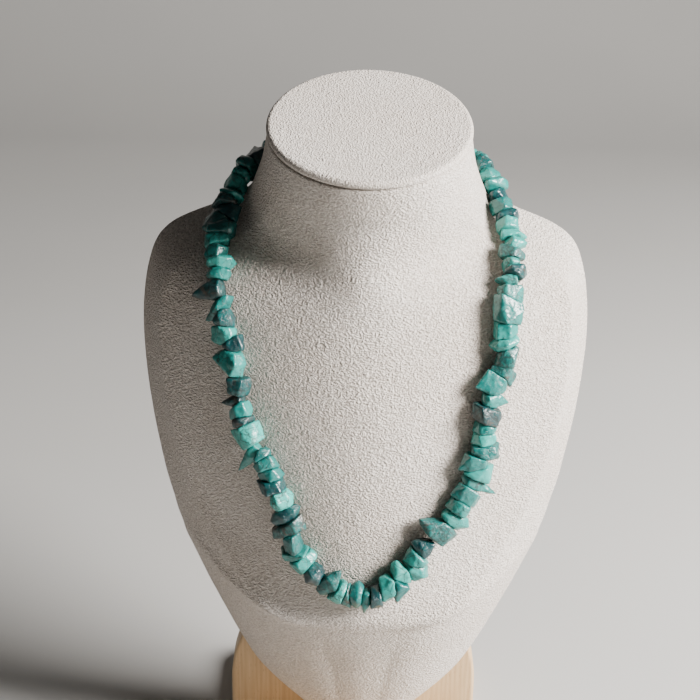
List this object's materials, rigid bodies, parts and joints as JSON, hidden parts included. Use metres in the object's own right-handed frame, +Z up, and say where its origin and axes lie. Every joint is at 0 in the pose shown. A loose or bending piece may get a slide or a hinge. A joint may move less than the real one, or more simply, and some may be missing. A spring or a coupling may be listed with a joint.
{
  "type": "beaded necklace on a neck bust stand",
  "caption": "Loop of polished turquoise chips on a thread, worn by a fabric covered neck bust on a wooden stand.",
  "frame": {"origin": "on the table under the middle of the stand's foot", "axes": "+Z up, the chest of the bust faces -Y, +X to the viewer's right"},
  "size_m": [0.165, 0.1068, 0.2679],
  "materials": {
    "fabric": "crinkled ivory suede cloth, matt",
    "wood": "light beech, satin",
    "turquoise": "tumbled turquoise with dark veins, polished",
    "thread": "twisted dark thread",
    "clasp_metal": "plain silver coloured metal"
  },
  "bodies": {
    "root": {"bust": "fabric", "neck_cap": "fabric", "stand_board": "wood", "stand_foot": "wood", "chip_01": "turquoise", "chip_02": "turquoise", "chip_03": "turquoise", "chip_04": "turquoise", "chip_05": "turquoise", "chip_06": "turquoise", "chip_07": "turquoise", "chip_08": "turquoise", "chip_09": "turquoise", "chip_10": "turquoise", "chip_11": "turquoise", "chip_12": "turquoise", "chip_13": "turquoise", "chip_14": "turquoise", "chip_15": "turquoise", "chip_16": "turquoise", "chip_17": "turquoise", "chip_18": "turquoise", "chip_19": "turquoise", "chip_20": "turquoise", "chip_21": "turquoise", "chip_22": "turquoise", "chip_23": "turquoise", "chip_24": "turquoise", "chip_25": "turquoise", "chip_26": "turquoise", "chip_27": "turquoise", "chip_28": "turquoise", "chip_29": "turquoise", "chip_30": "turquoise", "chip_31": "turquoise", "chip_32": "turquoise", "chip_33": "turquoise", "chip_34": "turquoise", "chip_35": "turquoise", "chip_36": "turquoise", "chip_37": "turquoise", "chip_38": "turquoise", "chip_39": "turquoise", "chip_40": "turquoise", "chip_run_left_1": "turquoise", "chip_run_left_2": "turquoise", "chip_run_left_3": "turquoise", "chip_run_right_1": "turquoise", "chip_run_right_2": "turquoise", "chip_run_right_3": "turquoise", "thread": "thread", "clasp": "clasp_metal"}
  },
  "joints": []
}
